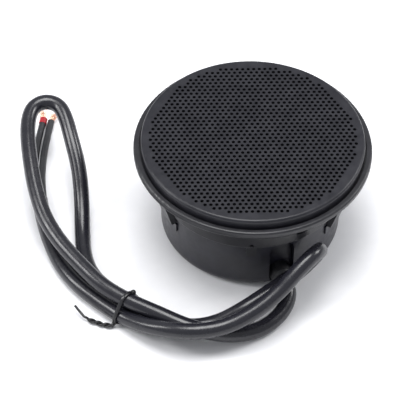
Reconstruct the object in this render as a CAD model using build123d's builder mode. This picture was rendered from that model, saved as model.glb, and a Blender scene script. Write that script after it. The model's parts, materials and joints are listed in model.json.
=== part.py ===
from build123d import *
import math
import os

os.makedirs("parts", exist_ok=True)

# Flush-mount car tweeter with a moulded cable. Millimetres, +Z towards the listener.
# Origin: centre of the cup's flat base, which is the surface that the tweeter stands on.

# ---------------------------------------------------------------- driving dimensions
FLANGE_R = 45.0            # outside of the mounting flange
FLANGE_BOTTOM = 39.5       # face that lands on the panel, above the gasket
LEDGE_TOP = 40.9           # floor of the groove that holds the grille
LIP_TOP = 42.4             # top of the flange's outer lip
LIP_IN_R = 42.9            # inside of that lip
LEDGE_IN_R = 28.5          # opening of the flange over the driver
GRILLE_R = 42.2            # outside of the pressed steel grille
GRILLE_TOP = 46.0
GRILLE_SHEET = 0.9
PERFORATED_R = 39.5
HOLE_PITCH = 2.14
HOLE_R = 0.66
ROW_TURN = 2.8             # degrees between the rows of holes and the X axis
CUP_R = 34.5               # outside of the rear cup
CUP_WALL = 2.0
CUP_FLOOR = 2.5
CUP_EDGE_R = 5.0           # rounding between base and side
CUP_TOP = 39.3
SKIRT_GAP = 0.4            # between the cup and the flange's skirt
SKIRT_R = 36.2
SKIRT_BOTTOM = 24.5
TONGUE_ANGLES = (-90, 30, 150)
CLIP_ANGLES = (-30, 90, 210)
CLIP_WIDTH = 6.6
CLIP_ROOT_Z = 19.6
CLIP_TOP = 32.5
EXIT_ANGLE = -70.0         # where the cable leaves the cup
EXIT_Z = 5.8
CABLE_D = 6.0
CORE_D = 2.7
DOME_R = 12.5
DOME_HEIGHT = 5.0
FIT = 0.05                 # radial clearance of a close fit

CUP_IN_R = CUP_R - CUP_WALL
SKIRT_IN_R = CUP_R + SKIRT_GAP


def finish(builder, name):
    """Label a finished piece and write it to its own STEP file."""
    builder.part.label = name
    export_step(builder.part, "parts/" + name + ".step")


def polar(radius, angle, z=0.0):
    """Point at a radius and an angle in degrees about the Z axis."""
    turn = math.radians(angle)
    return (radius * math.cos(turn), radius * math.sin(turn), z)


def radial_plane(angle, radius, z=0.0):
    """Plane whose normal points outward along a radius, with x level and y up."""
    outward = polar(1, angle)
    return Plane(origin=polar(radius, angle, z), x_dir=(-outward[1], outward[0], 0), z_dir=outward)


def upright_plane(angle):
    """Plane through the Z axis, with x along the radius and y up."""
    outward = polar(1, angle)
    return Plane(origin=(0, 0, 0), x_dir=outward, z_dir=(outward[1], -outward[0], 0))


# ---------------------------------------------------------------- rear cup
NOTCH_WIDTH = 9.6
NOTCH_TOP = 23.5
NOTCH_R = 31.2             # floor of the notch over the cable
NOTCH_LOW = EXIT_Z - NOTCH_WIDTH / 2
BLOCK_WIDTH = 13.0
BLOCK_IN_R = 25.5          # inner face of the block that the cable's bush sits in
BLOCK_TOP = 11.5
SHANK_R = 3.7              # bush's shank in the cup's wall
PAD_R = 34.9               # raised pads below the retaining clips
PAD_BOTTOM = 16.0
PAD_SIDE = 0.6

with BuildPart() as rear_cup:
    Cylinder(CUP_R, CUP_TOP, align=(Align.CENTER, Align.CENTER, Align.MIN))
    fillet(rear_cup.faces().sort_by(Axis.Z)[0].edges(), CUP_EDGE_R)
    with BuildSketch(Plane.XY.offset(CUP_FLOOR)):
        Circle(CUP_IN_R)
    extrude(amount=CUP_TOP - CUP_FLOOR, mode=Mode.SUBTRACT)
    # block for the cable's bush, and a thickened wall above it
    for inner, top in ((BLOCK_IN_R, BLOCK_TOP), (NOTCH_R - 1.0, NOTCH_TOP + 1.5)):
        with BuildSketch(radial_plane(EXIT_ANGLE, inner)):
            with Locations((0, (CUP_FLOOR + top) / 2)):
                Rectangle(BLOCK_WIDTH, top - CUP_FLOOR)
        extrude(amount=CUP_IN_R - inner + CUP_WALL / 2)
    # arched notch in the wall over the cable
    with BuildSketch(radial_plane(EXIT_ANGLE, NOTCH_R)):
        with Locations((0, (NOTCH_LOW + NOTCH_TOP) / 2)):
            SlotOverall(NOTCH_TOP - NOTCH_LOW, NOTCH_WIDTH, rotation=90)
    extrude(amount=CUP_EDGE_R, mode=Mode.SUBTRACT)
    # bore that holds the cable's bush
    with BuildSketch(radial_plane(EXIT_ANGLE, BLOCK_IN_R - 1, EXIT_Z)):
        Circle(SHANK_R + FIT)
    extrude(amount=NOTCH_R - BLOCK_IN_R + 2, mode=Mode.SUBTRACT)
    # raised pads below the three retaining clips
    for angle in CLIP_ANGLES:
        with BuildSketch(radial_plane(angle, CUP_IN_R + 1)):
            with Locations((0, (PAD_BOTTOM + CLIP_ROOT_Z) / 2)):
                Rectangle(CLIP_WIDTH + 2 * PAD_SIDE, CLIP_ROOT_Z - PAD_BOTTOM)
        extrude(amount=PAD_R - CUP_IN_R - 1)
finish(rear_cup, "rear_cup")

# ---------------------------------------------------------------- mounting flange
TONGUE_WIDTH = 3.8
TONGUE_BOTTOM = 20.2
TONGUE_THICK = 1.1
TONGUE_CORNER_R = 0.4
PEG_R = 0.7
PEG_Z = 25.6
PEG_SINK = 0.3             # how deep the peg is rooted in the tongue
PEG_LENGTH = 0.9
WINDOW_PLAY = 1.8
SLOT_ANGLE = -58.7         # keying slot beside the cable
SLOT_WIDTH = 4.7
SLOT_LOW = 28.0
SLOT_HIGH = 31.6
LIP_EDGE_R = 0.9
SCREW_PCR = 30.0           # faceplate screws, pitch circle radius
SCREW_COUNT = 4
SCREW_R = 1.0
SCREW_TOP = 40.4

with BuildPart() as mounting_flange:
    with BuildSketch(Plane.XZ):
        with BuildLine():
            Polyline(
                (LEDGE_IN_R, CUP_TOP), (SKIRT_IN_R, CUP_TOP), (SKIRT_IN_R, SKIRT_BOTTOM),
                (SKIRT_R, SKIRT_BOTTOM), (SKIRT_R, FLANGE_BOTTOM), (FLANGE_R, FLANGE_BOTTOM),
                (FLANGE_R, LIP_TOP), (LIP_IN_R, LIP_TOP), (LIP_IN_R, LEDGE_TOP),
                (LEDGE_IN_R, LEDGE_TOP), close=True,
            )
        make_face()
    revolve(axis=Axis.Z)
    outer_edges = mounting_flange.edges().filter_by(GeomType.CIRCLE)
    fillet(outer_edges.filter_by(lambda edge: abs(edge.radius - FLANGE_R) < FIT), LIP_EDGE_R)
    skirt_edge = mounting_flange.edges().filter_by(GeomType.CIRCLE).group_by(Axis.Z)[0]
    fillet(skirt_edge.sort_by(SortBy.RADIUS)[-1], TONGUE_THICK / 2)
    # snap tongues that hang from the skirt, each with a small peg
    for angle in TONGUE_ANGLES:
        with BuildSketch(radial_plane(angle, SKIRT_IN_R + FIT)):
            with Locations((0, (TONGUE_BOTTOM + SKIRT_BOTTOM + 1) / 2)):
                RectangleRounded(TONGUE_WIDTH, SKIRT_BOTTOM + 1 - TONGUE_BOTTOM, TONGUE_CORNER_R)
        extrude(amount=TONGUE_THICK)
        with BuildSketch(radial_plane(angle, SKIRT_R - PEG_SINK, PEG_Z)):
            Circle(PEG_R)
        extrude(amount=PEG_LENGTH)
    # windows that let the clips spring inward
    for angle in CLIP_ANGLES:
        with BuildSketch(radial_plane(angle, CUP_R)):
            with Locations((0, (SKIRT_BOTTOM + CLIP_TOP) / 2)):
                Rectangle(CLIP_WIDTH + WINDOW_PLAY, CLIP_TOP - SKIRT_BOTTOM + WINDOW_PLAY)
        extrude(amount=SKIRT_R - CUP_R + 1, mode=Mode.SUBTRACT)
    # keying slot through the skirt
    with BuildSketch(radial_plane(SLOT_ANGLE, CUP_R)):
        with Locations((0, (SLOT_LOW + SLOT_HIGH) / 2)):
            Rectangle(SLOT_WIDTH, SLOT_HIGH - SLOT_LOW)
    extrude(amount=SKIRT_R - CUP_R + 1, mode=Mode.SUBTRACT)
    # pilot holes for the faceplate's screws
    with BuildSketch(Plane.XY.offset(CUP_TOP)):
        with PolarLocations(SCREW_PCR, SCREW_COUNT):
            Circle(SCREW_R + FIT)
    extrude(amount=SCREW_TOP - CUP_TOP, mode=Mode.SUBTRACT)
finish(mounting_flange, "mounting_flange")

# ---------------------------------------------------------------- gasket under the flange
GASKET_IN_R = 40.8
GASKET_OUT_R = 43.8
GASKET_BOTTOM = 38.5

with BuildPart() as flange_gasket:
    with BuildSketch(Plane.XY.offset(GASKET_BOTTOM)):
        Circle(GASKET_OUT_R)
        Circle(GASKET_IN_R, mode=Mode.SUBTRACT)
    extrude(amount=FLANGE_BOTTOM - GASKET_BOTTOM)
finish(flange_gasket, "flange_gasket")

# ---------------------------------------------------------------- grille
GRILLE_EDGE_R = 1.1
ROW_COUNT = int(PERFORATED_R / (HOLE_PITCH * math.sin(math.radians(60)))) + 1
ROW_PITCH = HOLE_PITCH * math.sin(math.radians(60))


def hole_centres():
    """Centres of the staggered holes that fit inside the perforated circle."""
    centres = []
    for row in range(-ROW_COUNT, ROW_COUNT + 1):
        shift = HOLE_PITCH / 2 if row % 2 else 0
        for column in range(-ROW_COUNT, ROW_COUNT + 1):
            centre = Vector(column * HOLE_PITCH + shift, row * ROW_PITCH)
            if centre.length + HOLE_R < PERFORATED_R:
                centres.append(centre.rotate(Axis.Z, ROW_TURN))
    return centres


with BuildPart() as grille:
    # pressed rim with a rounded edge
    with BuildSketch(Plane.XY.offset(LEDGE_TOP)):
        Circle(GRILLE_R)
    extrude(amount=GRILLE_TOP - LEDGE_TOP)
    fillet(grille.faces().sort_by(Axis.Z)[-1].edges(), GRILLE_EDGE_R)
    with BuildSketch(Plane.XY.offset(LEDGE_TOP)):
        Circle(GRILLE_R - GRILLE_SHEET)
    extrude(amount=GRILLE_TOP - GRILLE_SHEET - LEDGE_TOP, mode=Mode.SUBTRACT)
    with BuildSketch(Plane.XY.offset(GRILLE_TOP - GRILLE_SHEET)):
        Circle(PERFORATED_R)
    extrude(amount=GRILLE_SHEET, mode=Mode.SUBTRACT)
    # perforated sheet inside the rim
    with BuildSketch(Plane.XY.offset(GRILLE_TOP - GRILLE_SHEET)):
        sheet = Face(Wire.make_circle(PERFORATED_R))
        add(sheet.make_holes([Wire.make_circle(HOLE_R, Plane(centre)) for centre in hole_centres()]))
    extrude(amount=GRILLE_SHEET)
finish(grille, "grille")

RETAINER_OUT_R = GRILLE_R - GRILLE_SHEET - FIT
RETAINER_IN_R = 38.6
CLOTH_THICK = 0.3
CLOTH_TOP = GRILLE_TOP - GRILLE_SHEET

with BuildPart() as grille_cloth:
    with BuildSketch(Plane.XY.offset(CLOTH_TOP - CLOTH_THICK)):
        Circle(RETAINER_OUT_R)
    extrude(amount=CLOTH_THICK)
finish(grille_cloth, "grille_cloth")

with BuildPart() as grille_retainer:
    with BuildSketch(Plane.XY.offset(LEDGE_TOP)):
        Circle(RETAINER_OUT_R)
        Circle(RETAINER_IN_R, mode=Mode.SUBTRACT)
    extrude(amount=CLOTH_TOP - CLOTH_THICK - LEDGE_TOP)
finish(grille_retainer, "grille_retainer")

# ---------------------------------------------------------------- spring retaining clips
CLIP_GAP = 0.3             # between the clip's root and the cup
CLIP_THICK = 1.7
CLIP_FLARE = 2.6           # how far the free end stands out from the root
CLIP_ROOT_R = CUP_R + CLIP_GAP
CLIP_END_DROP = 3.0        # sloped lead-in that the panel's edge pushes on
CLIP_END_STEP = 0.9
CLIP_HEEL = 2.5            # straight length at the root
CLIP_CHAMFER = 0.3

for number, angle in enumerate(CLIP_ANGLES, start=1):
    with BuildPart() as clip:
        with BuildSketch(upright_plane(angle)):
            with BuildLine():
                Polyline(
                    (CLIP_ROOT_R, CLIP_ROOT_Z + CLIP_GAP),
                    (CLIP_ROOT_R + CLIP_THICK, CLIP_ROOT_Z + CLIP_GAP),
                    (CLIP_ROOT_R + CLIP_THICK + CLIP_FLARE, CLIP_TOP - CLIP_END_DROP),
                    (CLIP_ROOT_R + CLIP_THICK + CLIP_FLARE - CLIP_END_STEP, CLIP_TOP),
                    (CLIP_ROOT_R + CLIP_FLARE, CLIP_TOP),
                    (CLIP_ROOT_R, CLIP_ROOT_Z + CLIP_HEEL),
                    close=True,
                )
            make_face()
        extrude(amount=CLIP_WIDTH / 2, both=True)
        upright_edges = clip.faces().filter_by(GeomType.PLANE).sort_by(SortBy.AREA)[-2:]
        chamfer(upright_edges.edges().filter_by(lambda edge: edge.center().Z > CLIP_TOP - FIT), CLIP_CHAMFER)
    finish(clip, "retaining_clip_" + str(number))

# ---------------------------------------------------------------- driver: motor
YOKE_BOTTOM = 19.5
YOKE_R = 27.0
YOKE_THICK = 4.0
MAGNET_R = 29.4
MAGNET_IN_R = 17.0
MAGNET_THICK = 9.5
MAGNET_CHAMFER = 0.6
PLATE_R = 27.0
PLATE_THICK = 3.4
GAP_OUT_R = 13.7
POLE_R = 11.5
VENT_R = 2.5
MAGNET_BOTTOM = YOKE_BOTTOM + YOKE_THICK
PLATE_BOTTOM = MAGNET_BOTTOM + MAGNET_THICK
PLATE_TOP = PLATE_BOTTOM + PLATE_THICK
POLE_TOP = PLATE_TOP - 0.2

with BuildPart() as pole_yoke:
    with BuildSketch(Plane.XY.offset(YOKE_BOTTOM)):
        Circle(YOKE_R)
    extrude(amount=YOKE_THICK)
    with BuildSketch(Plane.XY.offset(YOKE_BOTTOM)):
        Circle(POLE_R)
    extrude(amount=POLE_TOP - YOKE_BOTTOM)
    with BuildSketch(Plane.XY.offset(YOKE_BOTTOM)):
        Circle(VENT_R)
    extrude(amount=POLE_TOP - YOKE_BOTTOM, mode=Mode.SUBTRACT)
finish(pole_yoke, "pole_yoke")

with BuildPart() as magnet_ring:
    with BuildSketch(Plane.XY.offset(MAGNET_BOTTOM)):
        Circle(MAGNET_R)
        Circle(MAGNET_IN_R, mode=Mode.SUBTRACT)
    extrude(amount=MAGNET_THICK)
    rims = magnet_ring.edges().filter_by(GeomType.CIRCLE).sort_by(SortBy.RADIUS)[-2:]
    chamfer(rims, MAGNET_CHAMFER)
finish(magnet_ring, "magnet_ring")

with BuildPart() as top_plate:
    with BuildSketch(Plane.XY.offset(PLATE_BOTTOM)):
        Circle(PLATE_R)
        Circle(GAP_OUT_R, mode=Mode.SUBTRACT)
    extrude(amount=PLATE_THICK)
finish(top_plate, "top_plate")

FELT_R = 10.4
FELT_THICK = 1.4

with BuildPart() as pole_felt:
    with BuildSketch(Plane.XY.offset(POLE_TOP)):
        Circle(FELT_R)
        Circle(VENT_R, mode=Mode.SUBTRACT)
    extrude(amount=FELT_THICK)
finish(pole_felt, "pole_felt")

# ---------------------------------------------------------------- driver: diaphragm
SKIN = 0.25
FORMER_THICK = 0.2
FORMER_BOTTOM = 30.0
COIL_THICK = 0.5
COIL_HEIGHT = 3.6
DOME_Z = PLATE_TOP + 1.0   # plane of the dome's rim
SURROUND_IN_R = DOME_R + 0.3
SURROUND_OUT_R = 16.6
SURROUND_RIM_R = 19.0
DOME_SPHERE_R = (DOME_R ** 2 + DOME_HEIGHT ** 2) / (2 * DOME_HEIGHT)

with BuildPart() as dome:
    with Locations((0, 0, DOME_Z + DOME_HEIGHT - DOME_SPHERE_R)):
        Sphere(DOME_SPHERE_R)
        Sphere(DOME_SPHERE_R - SKIN, mode=Mode.SUBTRACT)
    split(bisect_by=Plane.XY.offset(DOME_Z), keep=Keep.TOP)
finish(dome, "dome")

with BuildPart() as coil_former:
    with BuildSketch(Plane.XY.offset(FORMER_BOTTOM)):
        Circle(DOME_R)
        Circle(DOME_R - FORMER_THICK, mode=Mode.SUBTRACT)
    extrude(amount=DOME_Z - FORMER_BOTTOM)
finish(coil_former, "coil_former")

with BuildPart() as voice_coil:
    with BuildSketch(Plane.XY.offset(PLATE_BOTTOM)):
        Circle(DOME_R + COIL_THICK)
        Circle(DOME_R, mode=Mode.SUBTRACT)
    extrude(amount=COIL_HEIGHT)
finish(voice_coil, "voice_coil")

with BuildPart() as surround:
    with BuildSketch(Plane.XZ):
        with BuildLine():
            roll = RadiusArc((SURROUND_IN_R, DOME_Z), (SURROUND_OUT_R, DOME_Z), 2.1)
            Line(roll @ 1, (SURROUND_OUT_R, PLATE_TOP + SKIN))
            Line((SURROUND_OUT_R, PLATE_TOP + SKIN), (SURROUND_RIM_R, PLATE_TOP + SKIN))
            Line((SURROUND_RIM_R, PLATE_TOP + SKIN), (SURROUND_RIM_R, PLATE_TOP))
            Line((SURROUND_RIM_R, PLATE_TOP), (SURROUND_OUT_R - SKIN, PLATE_TOP))
            Line((SURROUND_OUT_R - SKIN, PLATE_TOP), (SURROUND_OUT_R - SKIN, DOME_Z))
            under = RadiusArc((SURROUND_OUT_R - SKIN, DOME_Z), (SURROUND_IN_R + SKIN, DOME_Z), -1.85)
            Line(under @ 1, roll @ 0)
        make_face()
    revolve(axis=Axis.Z)
finish(surround, "surround")

# ---------------------------------------------------------------- driver: faceplate and screws
FACEPLATE_R = 31.8
FACEPLATE_BOTTOM = PLATE_TOP + SKIN
FACEPLATE_IN_R = 17.2
MOUTH_R = 23.0             # flared mouth over the dome
MOUTH_EDGE = 0.8
HEAD_R = 1.7
HEAD_THICK = 1.3

with BuildPart() as faceplate:
    with BuildSketch(Plane.XZ):
        with BuildLine():
            Polyline(
                (FACEPLATE_IN_R, FACEPLATE_BOTTOM), (FACEPLATE_R, FACEPLATE_BOTTOM),
                (FACEPLATE_R, CUP_TOP), (MOUTH_R, CUP_TOP),
                (FACEPLATE_IN_R, FACEPLATE_BOTTOM + MOUTH_EDGE), close=True,
            )
        make_face()
    revolve(axis=Axis.Z)
    with BuildSketch(Plane.XY.offset(FACEPLATE_BOTTOM)):
        with PolarLocations(SCREW_PCR, SCREW_COUNT):
            Circle(SCREW_R + 3 * FIT)
    extrude(until=Until.LAST, mode=Mode.SUBTRACT)
finish(faceplate, "faceplate")

with BuildPart() as faceplate_screws:
    with BuildSketch(Plane.XY.offset(FACEPLATE_BOTTOM - HEAD_THICK)):
        with PolarLocations(SCREW_PCR, SCREW_COUNT):
            Circle(HEAD_R)
    extrude(amount=HEAD_THICK)
    with BuildSketch(Plane.XY.offset(FACEPLATE_BOTTOM)):
        with PolarLocations(SCREW_PCR, SCREW_COUNT):
            Circle(SCREW_R)
    extrude(amount=SCREW_TOP - 0.2 - FACEPLATE_BOTTOM)
finish(faceplate_screws, "faceplate_screws")

# ---------------------------------------------------------------- inside the cup
WADDING_THICK = 5.0
WADDING_R = CUP_IN_R - 0.5
WADDING_CUT = (34.0, BLOCK_WIDTH + 4)     # opening for the cable and its saddle
BOARD_THICK = 1.6
BOARD_SIZE = (26.0, 15.0)
BOARD_Y = 6.0
TAB_SIZE = (4.8, 0.8, 7.0)
TAB_X = 8.0
CAN_R = 4.0
CAN_LENGTH = 13.0
CAN_Y = 18.0
CAN_EDGE_R = 0.5
BOARD_BOTTOM = YOKE_BOTTOM - BOARD_THICK
SADDLE_R = 23.0            # distance of the cable's saddle from the Z axis
SADDLE_SIZE = (17.0, 4.0, 7.2)
SADDLE_SCREW_X = 5.9
SADDLE_SCREW_R = 0.9
SADDLE_HEAD_R = 1.7
SADDLE_HEAD_THICK = 1.2
SADDLE_TOP = CUP_FLOOR + SADDLE_SIZE[2]
CABLE_R = CABLE_D / 2

with BuildPart() as cup_wadding:
    with BuildSketch(Plane.XY.offset(CUP_FLOOR)):
        Circle(WADDING_R)
        with Locations(Location(polar(CUP_IN_R - 4, EXIT_ANGLE), EXIT_ANGLE)):
            Rectangle(*WADDING_CUT, mode=Mode.SUBTRACT)
    extrude(amount=WADDING_THICK)
finish(cup_wadding, "cup_wadding")

with BuildPart() as terminal_board:
    with BuildSketch(Plane.XY.offset(BOARD_BOTTOM)):
        with Locations((0, BOARD_Y)):
            RectangleRounded(*BOARD_SIZE, 1.0)
    extrude(amount=BOARD_THICK)
finish(terminal_board, "terminal_board")

with BuildPart() as terminal_tabs:
    with Locations((-TAB_X, BOARD_Y, BOARD_BOTTOM), (TAB_X, BOARD_Y, BOARD_BOTTOM)):
        Box(*TAB_SIZE, align=(Align.CENTER, Align.CENTER, Align.MAX))
finish(terminal_tabs, "terminal_tabs")

with BuildPart() as filter_capacitor:
    with BuildSketch(Plane.YZ.offset(-CAN_LENGTH / 2)):
        with Locations((CAN_Y, YOKE_BOTTOM - CAN_R - FIT)):
            Circle(CAN_R)
    extrude(amount=CAN_LENGTH)
    fillet(filter_capacitor.edges().filter_by(GeomType.CIRCLE), CAN_EDGE_R)
finish(filter_capacitor, "filter_capacitor")

# ---------------------------------------------------------------- where the cable enters
COLLAR_R = 4.3
COLLAR_OUT = 35.8          # outer end of the bush's collar, from the Z axis
SLEEVE_OUT = 36.9          # outer end of its tapered sleeve
SLEEVE_R = 3.5

with BuildPart() as cable_bush:
    with BuildSketch(radial_plane(EXIT_ANGLE, BLOCK_IN_R, EXIT_Z)):
        Circle(SHANK_R)
    extrude(amount=NOTCH_R - BLOCK_IN_R)
    with BuildSketch(radial_plane(EXIT_ANGLE, NOTCH_R, EXIT_Z)):
        Circle(COLLAR_R)
    extrude(amount=COLLAR_OUT - NOTCH_R)
    with BuildSketch(radial_plane(EXIT_ANGLE, COLLAR_OUT, EXIT_Z)):
        Circle(COLLAR_R - 0.2)
    with BuildSketch(radial_plane(EXIT_ANGLE, SLEEVE_OUT, EXIT_Z)):
        Circle(SLEEVE_R)
    loft()
    with BuildSketch(radial_plane(EXIT_ANGLE, BLOCK_IN_R, EXIT_Z)):
        Circle(CABLE_R + FIT)
    extrude(amount=SLEEVE_OUT - BLOCK_IN_R, mode=Mode.SUBTRACT)
finish(cable_bush, "cable_bush")

with BuildPart() as cable_saddle:
    with BuildSketch(radial_plane(EXIT_ANGLE, SADDLE_R - SADDLE_SIZE[1] / 2)):
        with Locations((0, CUP_FLOOR + SADDLE_SIZE[2] / 2)):
            Rectangle(SADDLE_SIZE[0], SADDLE_SIZE[2])
        with Locations((0, EXIT_Z)):
            Circle(CABLE_R + FIT, mode=Mode.SUBTRACT)
        with Locations((0, CUP_FLOOR)):
            Rectangle(CABLE_D + 2 * FIT, 2 * (EXIT_Z - CUP_FLOOR), mode=Mode.SUBTRACT)
    extrude(amount=SADDLE_SIZE[1])
    with BuildSketch(Plane.XY.offset(CUP_FLOOR)):
        with Locations(Location(polar(SADDLE_R, EXIT_ANGLE), EXIT_ANGLE + 90)):
            with Locations((-SADDLE_SCREW_X, 0), (SADDLE_SCREW_X, 0)):
                Circle(SADDLE_SCREW_R + FIT)
    extrude(amount=SADDLE_SIZE[2], mode=Mode.SUBTRACT)
finish(cable_saddle, "cable_saddle")

with BuildPart() as saddle_screws:
    with BuildSketch(Plane.XY.offset(CUP_FLOOR + FIT)):
        with Locations(Location(polar(SADDLE_R, EXIT_ANGLE), EXIT_ANGLE + 90)):
            with Locations((-SADDLE_SCREW_X, 0), (SADDLE_SCREW_X, 0)):
                Circle(SADDLE_SCREW_R)
    extrude(amount=SADDLE_SIZE[2] - FIT)
    with BuildSketch(Plane.XY.offset(SADDLE_TOP)):
        with Locations(Location(polar(SADDLE_R, EXIT_ANGLE), EXIT_ANGLE + 90)):
            with Locations((-SADDLE_SCREW_X, 0), (SADDLE_SCREW_X, 0)):
                Circle(SADDLE_HEAD_R)
    extrude(amount=SADDLE_HEAD_THICK)
finish(saddle_screws, "saddle_screws")


def corner_radii(points):
    """Largest tangent arcs that leave a tenth of each run straight."""
    corners = [Vector(point) for point in points]
    radii = []
    for before, corner, after in zip(corners, corners[1:], corners[2:]):
        turn = math.radians((corner - before).get_angle(after - corner))
        shorter = min((corner - before).length, (after - corner).length)
        radii.append(0.45 * shorter / math.tan(turn / 2))
    return radii


def tube(points, radius, name):
    """Sweep a round section along straight runs joined by tangent arcs."""
    radii = corner_radii(points)
    with BuildPart() as piece:
        with BuildLine() as route:
            FilletPolyline(*points, radius=radii)
        with BuildSketch(Plane(origin=route.line @ 0, z_dir=route.line % 0)):
            Circle(radius)
        sweep()
    length = route.wires()[0].length
    section = math.pi * radius ** 2
    print(name, "length", round(length, 1), "volume", round(piece.part.volume, 1))
    print("   section x length", round(section * length, 1))
    print("   radii", [round(value, 1) for value in radii])
    return piece


# ---------------------------------------------------------------- cable, from the cup to its stripped end
ENTRY_IN = 20.4            # inner end of the cable, from the Z axis
JACKET_START = 33.0        # where the free cable's tube meets the length inside the bush
JACKET_BEND = 40.2         # where it starts to turn down to the table

with BuildPart() as cable_entry:
    with BuildSketch(radial_plane(EXIT_ANGLE, ENTRY_IN, EXIT_Z)):
        Circle(CABLE_R)
    extrude(amount=JACKET_START - ENTRY_IN)
finish(cable_entry, "cable_entry")

JACKET_ROUTE = [
    polar(JACKET_START, EXIT_ANGLE, EXIT_Z),
    polar(JACKET_BEND, EXIT_ANGLE, EXIT_Z),
    # loop on the table in front of the cup
    (14.8, -41.8, 4.5), (12.4, -48.6, 3), (5.9, -56.2, 3), (-3.3, -60.5, 3.5),
    (-13.5, -62.5, 6.5),
    # top strand of the tied bundle, then out to the raised loop
    (-24.2, -60.3, 8.1), (-35, -55.1, 9), (-45.9, -49.9, 9.5), (-55.6, -43.4, 10.1),
    (-64.2, -33.8, 11), (-72.5, -23.8, 12.2), (-79, -13, 14.1), (-83.1, -0.7, 17),
    (-85.7, 11.8, 20), (-87.3, 22.6, 22), (-87.4, 30.8, 23.3), (-85.7, 36.4, 24.1),
    (-81.2, 39, 24.5), (-76.1, 37.6, 24.2), (-73.1, 32.6, 23.2), (-70.1, 22.7, 20),
    (-66.7, 12, 14.6), (-65.3, 1, 7.9), (-64.7, -10.8, 3.6), (-63.6, -22.2, 3),
    (-60.4, -31.7, 3),
    # back strand of the bundle, then up to the fold beside the cup
    (-53.7, -39.7, 3), (-44.8, -46.9, 3.9), (-33.9, -52.7, 3.1), (-23.1, -57.1, 3),
    (-12.5, -55.7, 4.1), (-2.9, -53, 9.1), (5.8, -47, 11.2), (13.5, -41.1, 12.5),
    (18.9, -36.9, 13.9), (22.8, -33.7, 16.1), (25.3, -33.6, 21.2), (25.2, -37.2, 25.4),
    (22.2, -41.9, 27.3), (16.9, -47, 24.9), (10.3, -53.4, 20.2), (1.4, -59.8, 16),
    (-9.7, -64.5, 12.4), (-21, -66.4, 12), (-30.5, -64.4, 10.6),
    # front strand of the bundle, then along the table to the stripped end
    (-38.8, -60, 7.3), (-46.5, -53.8, 3.9), (-55.2, -46.5, 3), (-64.8, -37.9, 3.1),
    (-72.1, -27.6, 3), (-77.4, -14.4, 3), (-80.9, -1.6, 3), (-82, 5.7, 3),
]
cable_jacket = tube(JACKET_ROUTE, CABLE_R, "cable_jacket")
finish(cable_jacket, "cable_jacket")

CORE_R = CORE_D / 2
CORE_LEFT_ROUTE = [
    (-83.4, 5.54, 2.8), (-84.4, 12.2, 2.6), (-85.2, 19.2, 2.0), (-85.5, 27.0, 1.5), (-85.4, 34.2, 1.4),
    (-84.9, 41.0, 1.4), (-84.2, 46.2, 1.6), (-83.5, 51.0, 2.1),
]
CORE_RIGHT_ROUTE = [
    (-80.63, 5.96, 2.8), (-81.5, 11.8, 2.4), (-82.2, 18.6, 1.8), (-82.4, 26.2, 1.4), (-82.2, 33.2, 1.4),
    (-81.7, 39.4, 1.4), (-81.1, 45.2, 1.5), (-80.4, 50.0, 1.9),
]
STRAND_R = 0.85
STRAND_LENGTH = 4.0
core_left = tube(CORE_LEFT_ROUTE, CORE_R, "core_left")
finish(core_left, "core_left")
core_right = tube(CORE_RIGHT_ROUTE, CORE_R, "core_right")
finish(core_right, "core_right")


def end_plane(points):
    """Plane across the last run of a route, at its end."""
    end = Vector(points[-1])
    return Plane(origin=end, z_dir=end - Vector(points[-2]))


with BuildPart() as copper_ends:
    for route_points in (CORE_LEFT_ROUTE, CORE_RIGHT_ROUTE):
        with BuildSketch(end_plane(route_points)):
            Circle(STRAND_R)
        extrude(amount=STRAND_LENGTH)
finish(copper_ends, "copper_ends")

SLEEVE_LENGTH = 2.6
MARK_R = CORE_R + 0.2

with BuildPart() as polarity_sleeve:
    with BuildSketch(end_plane(CORE_LEFT_ROUTE)):
        Circle(MARK_R)
        Circle(CORE_R + FIT, mode=Mode.SUBTRACT)
    extrude(amount=-SLEEVE_LENGTH)
finish(polarity_sleeve, "polarity_sleeve")

LEAD_R = 0.7
LEAD_OFFSET = 1.4
TAB_FRONT = BOARD_Y - TAB_SIZE[1] / 2 - FIT
LEAD_START = radial_plane(EXIT_ANGLE, ENTRY_IN - 0.2, EXIT_Z)
lead_positive = tube(
    [
        tuple(LEAD_START.from_local_coords((LEAD_OFFSET, 0, 0))), (6.6, -14.2, 6.6),
        (7.4, -8.0, 11.0), (TAB_X, -1.0, 13.0), (TAB_X, TAB_FRONT, 13.2),
    ],
    LEAD_R, "lead_positive",
)
finish(lead_positive, "lead_positive")
lead_negative = tube(
    [
        tuple(LEAD_START.from_local_coords((-LEAD_OFFSET, 0, 0))), (3.4, -14.8, 6.8),
        (-2.2, -9.0, 11.0), (-7.2, -2.2, 13.0), (-TAB_X, TAB_FRONT, 13.2),
    ],
    LEAD_R, "lead_negative",
)
finish(lead_negative, "lead_negative")

# ---------------------------------------------------------------- twist tie round the bundle
TIE_WIDTH = 1.3
TIE_THICK = 0.4
TIE_GAP = 0.25
TIE_CENTRE = (-45.62, -49.48)
TIE_DIRECTION = (-0.723, 0.691)       # along the bundle, level
BUNDLE_STRANDS = ((3.87, 3.83), (-2.95, 3.68), (0.3, 9.52))
TAIL_R = 1.0
TIE_PLANE = Plane(
    origin=(*TIE_CENTRE, 0), x_dir=(-TIE_DIRECTION[1], TIE_DIRECTION[0], 0),
    z_dir=(*TIE_DIRECTION, 0),
)

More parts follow.
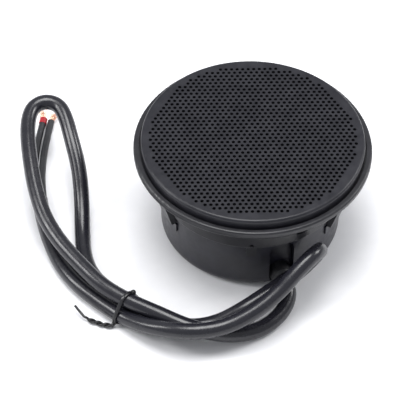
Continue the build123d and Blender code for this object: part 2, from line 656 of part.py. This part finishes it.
with BuildPart() as twist_tie:
    with BuildSketch(TIE_PLANE):
        with Locations(*BUNDLE_STRANDS):
            Circle(CABLE_R + TIE_GAP + TIE_THICK)
        make_hull()
    extrude(amount=TIE_WIDTH / 2, both=True)
    with BuildSketch(TIE_PLANE):
        with Locations(*BUNDLE_STRANDS):
            Circle(CABLE_R + TIE_GAP)
        make_hull()
    extrude(amount=TIE_WIDTH, both=True, mode=Mode.SUBTRACT)
finish(twist_tie, "twist_tie")
TAIL_ROUTE = [
    (-51.2, -55.5, 1.5), (-54.4, -55.3, 1.2), (-57.6, -53.7, 1.2), (-60.9, -52.9, 1.5),
    (-63.0, -50.7, 2.3), (-66.0, -47.5, 3.8),
]
twist_tail = tube(TAIL_ROUTE, TAIL_R, "twist_tail")
finish(twist_tail, "twist_tail")
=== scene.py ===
import bmesh
import bpy
import json
import math
import random
from mathutils import Matrix, Vector


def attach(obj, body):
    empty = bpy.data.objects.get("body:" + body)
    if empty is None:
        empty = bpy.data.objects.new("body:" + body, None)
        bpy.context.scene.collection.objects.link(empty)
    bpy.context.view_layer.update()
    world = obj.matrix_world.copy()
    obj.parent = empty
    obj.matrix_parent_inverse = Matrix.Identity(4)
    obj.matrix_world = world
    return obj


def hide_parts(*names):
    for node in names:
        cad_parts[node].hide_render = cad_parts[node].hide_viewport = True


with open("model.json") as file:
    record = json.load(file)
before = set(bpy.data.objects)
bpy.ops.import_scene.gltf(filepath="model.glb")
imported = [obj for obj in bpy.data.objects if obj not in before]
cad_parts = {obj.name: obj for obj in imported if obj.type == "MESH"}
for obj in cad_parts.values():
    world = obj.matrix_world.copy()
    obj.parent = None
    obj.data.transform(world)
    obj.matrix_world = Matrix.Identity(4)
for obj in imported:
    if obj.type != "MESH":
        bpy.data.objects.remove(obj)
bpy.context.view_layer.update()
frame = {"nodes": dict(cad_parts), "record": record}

# ---------------------------------------------------------------- camera
# It looks down on the tweeter from the front, a little to the left of it.
ELEVATION = math.radians(47.584)
DISTANCE = 0.8469
ASIDE = 0.01948
ABOVE = 0.00744
ROLL = math.radians(1.083)

right = Vector((1, 0, 0))
up = Vector((0, math.sin(ELEVATION), math.cos(ELEVATION)))
ahead = Vector((0, math.cos(ELEVATION), -math.sin(ELEVATION)))
camera_data = bpy.data.cameras.new("camera")
camera_data.lens = 195.1
camera_data.sensor_width = 36
camera = bpy.data.objects.new("camera", camera_data)
bpy.context.scene.collection.objects.link(camera)
camera.matrix_world = Matrix.Translation(up * ABOVE - right * ASIDE - ahead * DISTANCE) @ Matrix((
    right * math.cos(ROLL) + up * math.sin(ROLL),
    up * math.cos(ROLL) - right * math.sin(ROLL),
    -ahead,
)).transposed().to_4x4()
bpy.context.scene.camera = camera

# ---------------------------------------------------------------- materials


def node(tree, kind, values=None, **settings):
    """A new node with the given settings and input values."""
    made = tree.nodes.new(kind)
    for name, value in settings.items():
        setattr(made, name, value)
    for name, value in (values or {}).items():
        made.inputs[name].default_value = value
    return made


def new_material(name, **sockets):
    """A material, its tree, shader and object coordinates. Underscores in sockets stand for spaces."""
    made = bpy.data.materials.new(name)
    made.use_nodes = True
    tree = made.node_tree
    shader = tree.nodes["Principled BSDF"]
    for socket, value in sockets.items():
        shader.inputs[socket.replace("_", " ")].default_value = value
    place = node(tree, "ShaderNodeTexCoord").outputs["Object"]
    return made, tree, shader, place


def noise(tree, place, size, detail=3.0, stretch=(1, 1, 1)):
    """Noise whose features are about size metres across."""
    mapping = node(tree, "ShaderNodeMapping", {"Scale": stretch})
    tree.links.new(place, mapping.inputs["Vector"])
    made = node(tree, "ShaderNodeTexNoise", {"Scale": 1 / size, "Detail": detail})
    tree.links.new(mapping.outputs["Vector"], made.inputs["Vector"])
    return made.outputs["Fac"]


def colours(tree, shader, factor, dark, light, low=0.35, high=0.65):
    """Base colour from dark to light as factor goes from low to high."""
    ramp = node(tree, "ShaderNodeValToRGB")
    ramp.color_ramp.elements[0].position = low
    ramp.color_ramp.elements[1].position = high
    ramp.color_ramp.elements[0].color = (*dark, 1)
    ramp.color_ramp.elements[1].color = (*light, 1)
    tree.links.new(factor, ramp.inputs["Fac"])
    tree.links.new(ramp.outputs["Color"], shader.inputs["Base Color"])


def spread(tree, shader, socket, factor, low, high):
    """One of the shader's values, varying from low to high with factor."""
    made = node(
        tree, "ShaderNodeMapRange", {"From Min": 0.3, "From Max": 0.7, "To Min": low, "To Max": high},
    )
    tree.links.new(factor, made.inputs["Value"])
    tree.links.new(made.outputs["Result"], shader.inputs[socket])


def relief(tree, shader, height, depth, below=None):
    """Bump of the given depth in metres, on top of another bump if there is one."""
    made = node(tree, "ShaderNodeBump", {"Distance": depth, "Strength": 1.0})
    tree.links.new(height, made.inputs["Height"])
    if below:
        tree.links.new(below, made.inputs["Normal"])
    tree.links.new(made.outputs["Normal"], shader.inputs["Normal"])
    return made.outputs["Normal"]


def moulded(name, dark, light, roughness, grain, depth, **sockets):
    """Moulded plastic, rubber or paint: cloudy tone, uneven gloss and a fine grain."""
    made, tree, shader, place = new_material(name, **sockets)
    colours(tree, shader, noise(tree, place, 0.006, 5), dark, light)
    spread(tree, shader, "Roughness", noise(tree, place, 0.0025, 6), roughness[0], roughness[1])
    soft = relief(tree, shader, noise(tree, place, 12 * grain, 2), 4 * depth)
    relief(tree, shader, noise(tree, place, grain, 2), depth, soft)
    return made


def turned(name, dark, light, roughness, pitch, depth):
    """Metal with the rings that a lathe or a press leaves round the Z axis."""
    made, tree, shader, place = new_material(name, Metallic=1.0)
    rings = node(
        tree, "ShaderNodeTexWave",
        {"Scale": 1 / pitch, "Distortion": 1.5, "Detail": 3.0, "Detail Scale": 2.0},
        wave_type="RINGS", rings_direction="Z",
    )
    tree.links.new(place, rings.inputs["Vector"])
    colours(tree, shader, noise(tree, place, 0.004, 5), dark, light)
    spread(tree, shader, "Roughness", noise(tree, place, 0.0015, 4), roughness[0], roughness[1])
    relief(tree, shader, rings.outputs["Fac"], depth)
    return made


def woven(name, dark, light, roughness, pitch, depth):
    """Plain weave: two sets of ribs at right angles."""
    made, tree, shader, place = new_material(name, Roughness=roughness, Specular_IOR_Level=0.1)
    ribs = []
    for direction in ("X", "Y"):
        wave = node(
            tree, "ShaderNodeTexWave", {"Scale": 0.32 / pitch, "Distortion": 0.6, "Detail": 1.0},
            bands_direction=direction,
        )
        tree.links.new(place, wave.inputs["Vector"])
        ribs.append(wave.outputs["Fac"])
    weave = node(tree, "ShaderNodeMath", operation="MULTIPLY")
    tree.links.new(ribs[0], weave.inputs[0])
    tree.links.new(ribs[1], weave.inputs[1])
    colours(tree, shader, weave.outputs["Value"], dark, light, 0.1, 0.8)
    relief(tree, shader, weave.outputs["Value"], depth)
    return made


def fibrous(name, dark, light, size, depth):
    """Felt or wadding: matted fibres in every direction."""
    made, tree, shader, place = new_material(name, Roughness=0.95, Sheen_Weight=0.5)
    fibres = noise(tree, place, size, 8, (1, 3, 1))
    colours(tree, shader, fibres, dark, light)
    relief(tree, shader, fibres, depth)
    return made


def dusted(name, dark, light, roughness, dust, amount):
    """Smooth plastic with light dust or talc on it in specks."""
    made, tree, shader, place = new_material(name, Specular_IOR_Level=0.5)
    specks = noise(tree, place, dust, 6)
    colours(tree, shader, specks, dark, light, 0.68 - amount, 0.78)
    spread(tree, shader, "Roughness", noise(tree, place, 0.003, 4), roughness[0], roughness[1])
    soft = relief(tree, shader, noise(tree, place, 0.004, 2), 0.00003)
    relief(tree, shader, specks, 0.000012, soft)
    return made


looks = {
    "cup_plastic": moulded(
        "cup_plastic", (0.004, 0.004, 0.01), (0.01, 0.01, 0.019),
        (0.3, 0.42), 0.0002, 0.000008,
    ),
    "flange_plastic": moulded(
        "flange_plastic", (0.008, 0.008, 0.011), (0.014, 0.014, 0.018),
        (0.3, 0.42), 0.0002, 0.000006,
    ),
    "gasket_foam": moulded(
        "gasket_foam", (0.008, 0.008, 0.009), (0.016, 0.016, 0.017),
        (0.8, 0.95), 0.0005, 0.00006,
    ),
    "grille_steel": moulded(
        "grille_steel", (0.01, 0.01, 0.014), (0.018, 0.018, 0.023),
        (0.28, 0.4), 0.00025, 0.000008, Specular_IOR_Level=0.35,
    ),
    # painted shade: the cloth behind the grille is black, and it is made darker than black cloth is, so that
    # it stands in for the shade deep in the grille holes
    "grille_cloth": woven(
        "grille_cloth", (0.001, 0.001, 0.001), (0.003, 0.003, 0.004),
        0.95, 0.00035, 0.00008,
    ),
    "retainer_plastic": moulded(
        "retainer_plastic", (0.012, 0.012, 0.013), (0.02, 0.02, 0.022),
        (0.4, 0.55), 0.0003, 0.000008,
    ),
    "clip_plastic": moulded(
        "clip_plastic", (0.014, 0.015, 0.018), (0.022, 0.023, 0.028),
        (0.34, 0.48), 0.0002, 0.000008,
    ),
    "motor_steel": turned(
        "motor_steel", (0.42, 0.42, 0.4), (0.6, 0.6, 0.56),
        (0.25, 0.42), 0.0009, 0.00001,
    ),
    "ferrite": moulded(
        "ferrite", (0.035, 0.035, 0.037), (0.075, 0.075, 0.078),
        (0.55, 0.75), 0.0004, 0.00002,
    ),
    "felt": fibrous("felt", (0.12, 0.12, 0.12), (0.26, 0.26, 0.26), 0.0006, 0.0001),
    "dome_cloth": woven(
        "dome_cloth", (0.006, 0.006, 0.006), (0.02, 0.02, 0.021),
        0.55, 0.0003, 0.00004,
    ),
    "former_foil": turned(
        "former_foil", (0.6, 0.6, 0.6), (0.78, 0.78, 0.78),
        (0.2, 0.35), 0.0006, 0.000006,
    ),
    "coil_wire": turned(
        "coil_wire", (0.4, 0.16, 0.06), (0.65, 0.3, 0.13),
        (0.2, 0.32), 0.0003, 0.00003,
    ),
    "screw_steel": turned(
        "screw_steel", (0.3, 0.3, 0.3), (0.48, 0.48, 0.46),
        (0.25, 0.4), 0.0005, 0.00001,
    ),
    "wadding": fibrous("wadding", (0.6, 0.6, 0.57), (0.85, 0.85, 0.82), 0.001, 0.0004),
    "board_laminate": moulded(
        "board_laminate", (0.17, 0.085, 0.03), (0.28, 0.15, 0.065),
        (0.4, 0.55), 0.0004, 0.00001,
    ),
    "tab_brass": turned(
        "tab_brass", (0.5, 0.42, 0.22), (0.7, 0.6, 0.34),
        (0.25, 0.38), 0.0007, 0.000008,
    ),
    "capacitor_can": moulded(
        "capacitor_can", (0.01, 0.02, 0.09), (0.02, 0.035, 0.14),
        (0.2, 0.3), 0.0006, 0.00001,
    ),
    "bush_rubber": moulded(
        "bush_rubber", (0.012, 0.012, 0.014), (0.02, 0.02, 0.023),
        (0.4, 0.55), 0.0003, 0.00001,
    ),
    "cable_pvc": dusted(
        "cable_pvc", (0.012, 0.012, 0.017), (0.034, 0.034, 0.042),
        (0.2, 0.3), 0.0009, 0.0,
    ),
    "core_pvc": dusted(
        "core_pvc", (0.014, 0.015, 0.018), (0.16, 0.16, 0.18),
        (0.42, 0.55), 0.0005, 0.06,
    ),
    "copper": turned("copper", (0.72, 0.4, 0.28), (0.92, 0.66, 0.52), (0.2, 0.35), 0.0002, 0.00001),
    "sleeve_red": dusted(
        "sleeve_red", (0.35, 0.012, 0.02), (0.5, 0.08, 0.09),
        (0.25, 0.38), 0.0006, 0.0,
    ),
    "tie_plastic": dusted(
        "tie_plastic", (0.008, 0.008, 0.01), (0.03, 0.03, 0.032),
        (0.22, 0.34), 0.0006, 0.0,
    ),
}

for part in frame["record"]["subparts"]:
    solid = frame["nodes"][part["node"]]
    solid.data.materials.clear()
    solid.data.materials.append(looks[part["material_slot"]])

# ---------------------------------------------------------------- cable
CABLE_D = 0.006
CORE_D = 0.0027
CABLE_ROUTE = [
    (0.011287, -0.03101, 0.0058), (0.013749, -0.037776, 0.0058),
    # loop on the table in front of the cup
    (0.0148, -0.0418, 0.0045), (0.0124, -0.0486, 0.003), (0.0059, -0.0562, 0.003),
    (-0.0033, -0.0605, 0.0035), (-0.0135, -0.0625, 0.0065),
    # top strand of the tied bundle, then out to the raised loop
    (-0.0242, -0.0603, 0.0081), (-0.035, -0.0551, 0.009), (-0.0459, -0.0499, 0.0095),
    (-0.0556, -0.0434, 0.0101), (-0.0642, -0.0338, 0.011), (-0.0725, -0.0238, 0.0122),
    (-0.079, -0.013, 0.0141), (-0.0831, -0.0007, 0.017), (-0.0857, 0.0118, 0.02),
    (-0.0873, 0.0226, 0.022), (-0.0874, 0.0308, 0.0233), (-0.0857, 0.0364, 0.0241),
    (-0.0812, 0.039, 0.0245), (-0.0761, 0.0376, 0.0242), (-0.0731, 0.0326, 0.0232),
    (-0.0701, 0.0227, 0.02), (-0.0667, 0.012, 0.0146), (-0.0653, 0.001, 0.0079),
    (-0.0647, -0.0108, 0.0036), (-0.0636, -0.0222, 0.003), (-0.0604, -0.0317, 0.003),
    # back strand of the bundle, then up to the fold beside the cup
    (-0.0537, -0.0397, 0.003), (-0.0448, -0.0469, 0.0039), (-0.0339, -0.0527, 0.0031),
    (-0.0231, -0.0571, 0.003), (-0.0125, -0.0557, 0.0041), (-0.0029, -0.053, 0.0091),
    (0.0058, -0.047, 0.0112), (0.0135, -0.0411, 0.0125), (0.0189, -0.0369, 0.0139),
    (0.0228, -0.0337, 0.0161), (0.0253, -0.0336, 0.0212), (0.0252, -0.0372, 0.0254),
    (0.0222, -0.0419, 0.0273), (0.0169, -0.047, 0.0249), (0.0103, -0.0534, 0.0202),
    (0.0014, -0.0598, 0.016), (-0.0097, -0.0645, 0.0124), (-0.021, -0.0664, 0.012),
    (-0.0305, -0.0644, 0.0106),
    # front strand of the bundle, then along the table to the stripped end
    (-0.0388, -0.06, 0.0073), (-0.0465, -0.0538, 0.0039), (-0.0552, -0.0465, 0.003),
    (-0.0648, -0.0379, 0.0031), (-0.0721, -0.0276, 0.003), (-0.0774, -0.0144, 0.003),
    (-0.0809, -0.0016, 0.003), (-0.082, 0.0057, 0.003),
]
CORE_ROUTES = {
    "left": [
        (-0.0834, 0.00554, 0.0028), (-0.0844, 0.0122, 0.0026), (-0.0852, 0.0192, 0.002),
        (-0.0855, 0.027, 0.0015), (-0.0854, 0.0342, 0.0014), (-0.0849, 0.041, 0.0014),
        (-0.0842, 0.0462, 0.0016), (-0.0835, 0.051, 0.0021),
    ],
    "right": [
        (-0.08063, 0.00596, 0.0028), (-0.0815, 0.0118, 0.0024), (-0.0822, 0.0186, 0.0018),
        (-0.0824, 0.0262, 0.0014), (-0.0822, 0.0332, 0.0014), (-0.0817, 0.0394, 0.0014),
        (-0.0811, 0.0452, 0.0015), (-0.0804, 0.05, 0.0019),
    ],
}
TAIL_ROUTE = [
    (-0.0512, -0.0555, 0.0015), (-0.0544, -0.0553, 0.0012), (-0.0576, -0.0537, 0.0012),
    (-0.0609, -0.0529, 0.0015), (-0.063, -0.0507, 0.0023), (-0.066, -0.0475, 0.0038),
]


def nurbs(name, route, diameter):
    """A round cord along a smooth line with the route's points as its control points."""
    curve = bpy.data.curves.new(name, "CURVE")
    curve.dimensions = "3D"
    curve.resolution_u = 12
    curve.bevel_depth = diameter / 2
    curve.bevel_resolution = 9
    curve.use_fill_caps = True
    spline = curve.splines.new("NURBS")
    spline.points.add(len(route) - 1)
    for point, place in zip(spline.points, route):
        point.co = (*place, 1)
    spline.order_u = 3
    spline.use_endpoint_u = True
    return link(name, curve)


def link(name, data):
    made = bpy.data.objects.new(name, data)
    bpy.context.scene.collection.objects.link(made)
    return made


def line_of(route):
    """Points along the smooth line of a route."""
    guide = nurbs("guide", route, 0)
    mesh = bpy.data.meshes.new_from_object(guide)
    points = [vertex.co.copy() for vertex in mesh.vertices]
    bpy.data.objects.remove(guide)
    return points


def wires(name, lines, diameter, look):
    """Round wires, each through its own points."""
    curve = bpy.data.curves.new(name, "CURVE")
    curve.dimensions = "3D"
    curve.bevel_depth = diameter / 2
    curve.bevel_resolution = 3
    curve.use_fill_caps = True
    for line in lines:
        spline = curve.splines.new("POLY")
        spline.points.add(len(line) - 1)
        for point, place in zip(spline.points, line):
            point.co = (*place, 1)
        spline.use_smooth = True
    return dress(link(name, curve), look)


def dress(piece, look):
    """Gives a piece its material and fixes it to the housing."""
    piece.data.materials.append(looks[look])
    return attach(piece, "housing")


cable = dress(nurbs("cable", CABLE_ROUTE, CABLE_D), "cable_pvc")
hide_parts("cable_jacket")

# ---------------------------------------------------------------- stripped cores with splayed copper strands
STRAND_COUNT = 30
STRAND_D = 0.00022
STRAND_REACH = 0.0042
STRAND_STEPS = 5
STRAND_ROOT_R = 0.0009      # how far from the core's axis the strands start
STRAND_SINK = 0.0004        # how deep they start inside the core
STRAND_LEAN = {"left": Vector((-0.4, 0, 0.35)), "right": Vector((0.35, 0, 0.3))}
random.seed(7)


def tuft(end, along):
    """Fine strands that leave a core's end and splay a little."""
    side = along.cross(Vector((0, 0, 1))).normalized()
    over = side.cross(along)
    lines = []
    for _ in range(STRAND_COUNT):
        turn = random.uniform(0, 2 * math.pi)
        radial = side * math.cos(turn) + over * math.sin(turn)
        root = STRAND_ROOT_R * math.sqrt(random.random())
        splay = random.uniform(0.2, 0.9) * root + random.uniform(0, 0.0005)
        reach = STRAND_REACH * random.uniform(0.75, 1.0)
        lines.append([
            end + along * reach * step / STRAND_STEPS - along * STRAND_SINK
            + radial * (root + splay * (step / STRAND_STEPS) ** 2)
            for step in range(STRAND_STEPS + 1)
        ])
    return lines


for side_name, route in CORE_ROUTES.items():
    core = dress(nurbs("core_" + side_name + "_insulation", route, CORE_D), "core_pvc")
    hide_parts("core_" + side_name)
    line = line_of(route)
    outward = (line[-1] - line[-2]).normalized() + STRAND_LEAN[side_name]
    strands = wires("strands_" + side_name, tuft(line[-1], outward.normalized()), STRAND_D, "copper")
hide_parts("copper_ends")

# ---------------------------------------------------------------- twist tie
TIE_CENTRE = Vector((-0.04562, -0.04948, 0))
TIE_ALONG = Vector((-0.723, 0.691, 0)).normalized()
TIE_WIDE = 0.0015
TIE_THICK = 0.0007
TIE_SLACK = 0.0001
WIRE_D = 0.001
TWIST_PITCH = 0.006
KNOT_R = 0.0011
TWIST_SHARE = 0.6           # share of the tail that is twisted, before its free end
TWIST_FADE = 0.08           # share over which the twist dies out
TIE_REACH = 0.015           # strands further from the centre than this are outside the tie
HULL_STEPS = 72
UPWARD = Vector((0, 0, 1))

across = Vector((TIE_ALONG.y, -TIE_ALONG.x, 0))
cable_line = line_of(CABLE_ROUTE)
crossings = []
for first, second in zip(cable_line, cable_line[1:]):
    before = (first - TIE_CENTRE).dot(TIE_ALONG)
    after = (second - TIE_CENTRE).dot(TIE_ALONG)
    if before * after <= 0 and (first - TIE_CENTRE).length < TIE_REACH:
        point = first.lerp(second, before / (before - after)) - TIE_CENTRE
        crossings.append(Vector((point.dot(across), point.z)))

band_r = CABLE_D / 2 + TIE_SLACK + TIE_THICK / 2
hull = []
for step in range(HULL_STEPS):
    turn = math.tau * step / HULL_STEPS
    outward = Vector((math.cos(turn), math.sin(turn)))
    hull.append(max(crossings, key=outward.dot) + outward * band_r)
band_curve = bpy.data.curves.new("tie_band", "CURVE")
band_curve.dimensions = "2D"
band_curve.fill_mode = "NONE"
band_curve.extrude = TIE_WIDE / 2 - TIE_THICK / 2
band_curve.bevel_depth = TIE_THICK / 2
band_curve.bevel_resolution = 3
band_spline = band_curve.splines.new("POLY")
band_spline.points.add(len(hull) - 1)
for point, place in zip(band_spline.points, hull):
    point.co = (place.x, max(place.y, TIE_THICK / 2), 0, 1)
band_spline.use_cyclic_u = True
band = link("tie_band", band_curve)
band.matrix_world = Matrix.Translation(TIE_CENTRE) @ Matrix(
    (across, UPWARD, across.cross(UPWARD))
).transposed().to_4x4()
dress(band, "tie_plastic")

# the band's overlapped ends, squeezed into a small lump on its back side
back_side = max(crossings, key=lambda place: place.x + place.y)
knot_place = TIE_CENTRE + across * (back_side.x + band_r * 0.9) + UPWARD * (back_side.y + band_r * 0.5)
knot_mesh = bpy.data.meshes.new("tie_knot")
ball = bmesh.new()
bmesh.ops.create_icosphere(ball, subdivisions=3, radius=KNOT_R, matrix=Matrix.Translation(knot_place))
ball.to_mesh(knot_mesh)
ball.free()
knot_mesh.shade_smooth()
knot = dress(link("tie_knot", knot_mesh), "tie_plastic")


def twisted(line, phase, share):
    """One wire of a twisted pair round a line. Past the share it settles onto the line."""
    total = sum((b - a).length for a, b in zip(line, line[1:]))
    gone = 0.0
    points = []
    for first, second in zip(line, line[1:]):
        along = (second - first).normalized()
        side = along.cross(UPWARD).normalized()
        turn = phase + math.tau * gone / TWIST_PITCH
        offset = WIRE_D / 2 * min(1, max(0, (share + TWIST_FADE - gone / total) / TWIST_FADE))
        points.append(first + (side * math.cos(turn) + side.cross(along) * math.sin(turn)) * offset)
        gone += (second - first).length
    return points


front_side = min(crossings, key=lambda place: place.x)
tail_root = TIE_CENTRE + across * (front_side.x - band_r * 0.9) + UPWARD * (front_side.y - band_r * 0.45)
tail_line = [tail_root] + line_of(TAIL_ROUTE)
long_wire = twisted(tail_line, 0, TWIST_SHARE)
short_wire = twisted(tail_line, math.pi, TWIST_SHARE + 1)[:int(len(tail_line) * TWIST_SHARE)]
pigtail = wires("tie_pigtail", [long_wire, short_wire], WIRE_D, "tie_plastic")
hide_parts("twist_tie")
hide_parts("twist_tail")

# ---------------------------------------------------------------- floor and light
FLOOR_HALF = 3.0
floor_mesh = bpy.data.meshes.new("floor")
floor_mesh.from_pydata(
    [
        (-FLOOR_HALF, -FLOOR_HALF, 0), (FLOOR_HALF, -FLOOR_HALF, 0),
        (FLOOR_HALF, FLOOR_HALF, 0), (-FLOOR_HALF, FLOOR_HALF, 0),
    ],
    [], [(0, 1, 2, 3)],
)
looks["floor"] = moulded("floor", (0.88, 0.88, 0.9), (0.9, 0.9, 0.92), (0.7, 0.8), 0.001, 0.000002)
floor_mesh.materials.append(looks["floor"])
link("floor", floor_mesh)


def softbox(name, place, aim, size, power, tint=(1, 1, 1)):
    """A rectangular area light at a place, facing a point."""
    light = bpy.data.lights.new(name, "AREA")
    light.shape = "RECTANGLE"
    light.size, light.size_y = size
    light.energy = power
    light.color = tint
    lamp = link(name, light)
    lamp.location = place
    lamp.rotation_euler = (Vector(aim) - Vector(place)).to_track_quat("-Z", "Y").to_euler()


softbox("overhead", (-0.05, 0.05, 1.0), (0, 0, 0), (0.6, 0.5), 9.0)
softbox("left", (-0.8, -0.05, 0.6), (0, 0, 0), (0.2, 0.5), 4.0)
softbox("right", (0.7, 0.3, 0.6), (0, 0, 0), (0.3, 0.3), 3.0)
world = bpy.data.worlds.new("world")
world.use_nodes = True
world.node_tree.nodes["Background"].inputs["Color"].default_value = (0.95, 0.97, 1.0, 1)
world.node_tree.nodes["Background"].inputs["Strength"].default_value = 0.55
bpy.context.scene.world = world
bpy.context.scene.view_settings.view_transform = "Standard"
